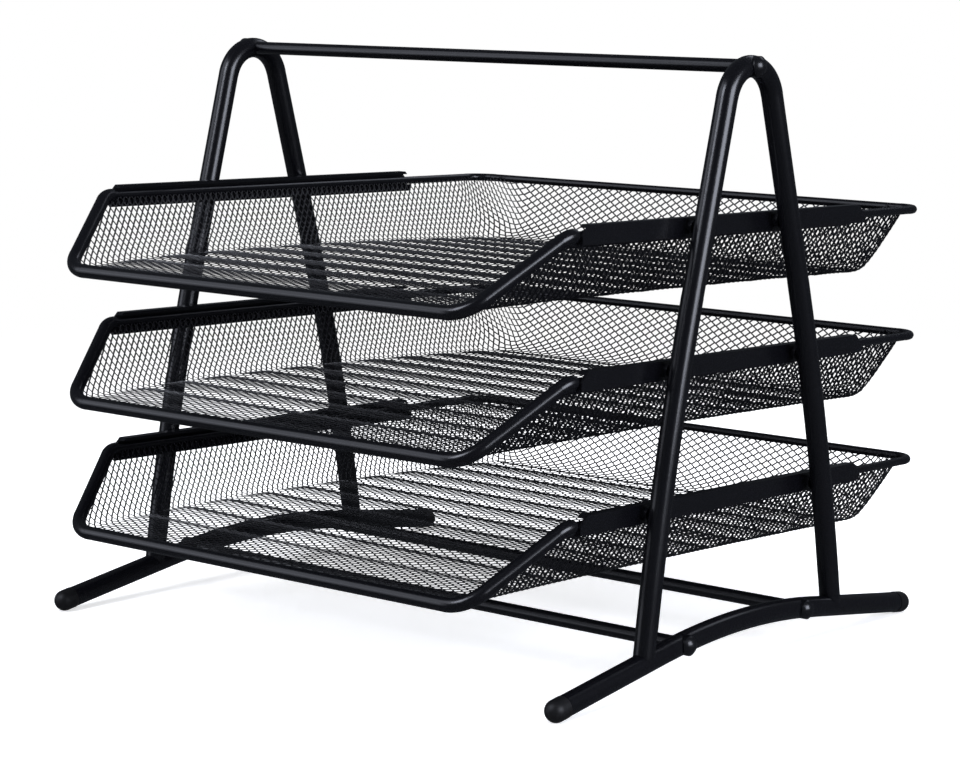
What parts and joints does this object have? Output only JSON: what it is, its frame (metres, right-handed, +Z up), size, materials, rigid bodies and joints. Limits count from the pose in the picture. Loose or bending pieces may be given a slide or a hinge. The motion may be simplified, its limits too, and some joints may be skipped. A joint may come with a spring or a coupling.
{
  "type": "mesh letter tray",
  "caption": "Tiered desk letter tray: sliding mesh trays with wire rims on rails between two tube hoops, with a carrying bar on top.",
  "frame": {"origin": "on the table under the middle of the whole part", "axes": "+Z up, -Y towards the open front of the trays, +X to the right seen from the front"},
  "size_m": [0.33, 0.3292, 0.2791],
  "materials": {
    "black_steel": "semi-gloss black powder coat",
    "black_mesh": "satin black powder coat",
    "screw_steel": "satin black",
    "cap_plastic": "matte black"
  },
  "bodies": {
    "stand": {"left_hoop": "black_steel", "right_hoop": "black_steel", "left_foot": "black_steel", "right_foot": "black_steel", "left_front_cap": "cap_plastic", "left_rear_cap": "cap_plastic", "right_front_cap": "cap_plastic", "right_rear_cap": "cap_plastic", "handle_bar": "black_steel", "front_crossbar": "black_steel", "rear_crossbar": "black_steel", "handle_screws": "screw_steel", "crossbar_screws": "screw_steel", "top_left_rail": "black_steel", "top_right_rail": "black_steel", "middle_left_rail": "black_steel", "middle_right_rail": "black_steel", "bottom_left_rail": "black_steel", "bottom_right_rail": "black_steel"},
    "top_tray": {"top_rim": "black_steel", "top_front_rod": "black_steel", "top_floor": "black_mesh", "top_left_wall": "black_mesh", "top_right_wall": "black_mesh", "top_rear_wall": "black_mesh"},
    "middle_tray": {"middle_rim": "black_steel", "middle_front_rod": "black_steel", "middle_floor": "black_mesh", "middle_left_wall": "black_mesh", "middle_right_wall": "black_mesh", "middle_rear_wall": "black_mesh"},
    "bottom_tray": {"bottom_rim": "black_steel", "bottom_front_rod": "black_steel", "bottom_floor": "black_mesh", "bottom_left_wall": "black_mesh", "bottom_right_wall": "black_mesh", "bottom_rear_wall": "black_mesh"}
  },
  "joints": [
    {"name": "top_tray_slide", "type": "slide", "parent": "stand", "child": "top_tray", "axis": [0, -0.9996, 0.0279], "range_m": [0, 0.1]},
    {"name": "middle_tray_slide", "type": "slide", "parent": "stand", "child": "middle_tray", "axis": [0, -0.9996, 0.0279], "range_m": [0, 0.1]},
    {"name": "bottom_tray_slide", "type": "slide", "parent": "stand", "child": "bottom_tray", "axis": [0, -0.9996, 0.0279], "range_m": [0, 0.1]}
  ]
}
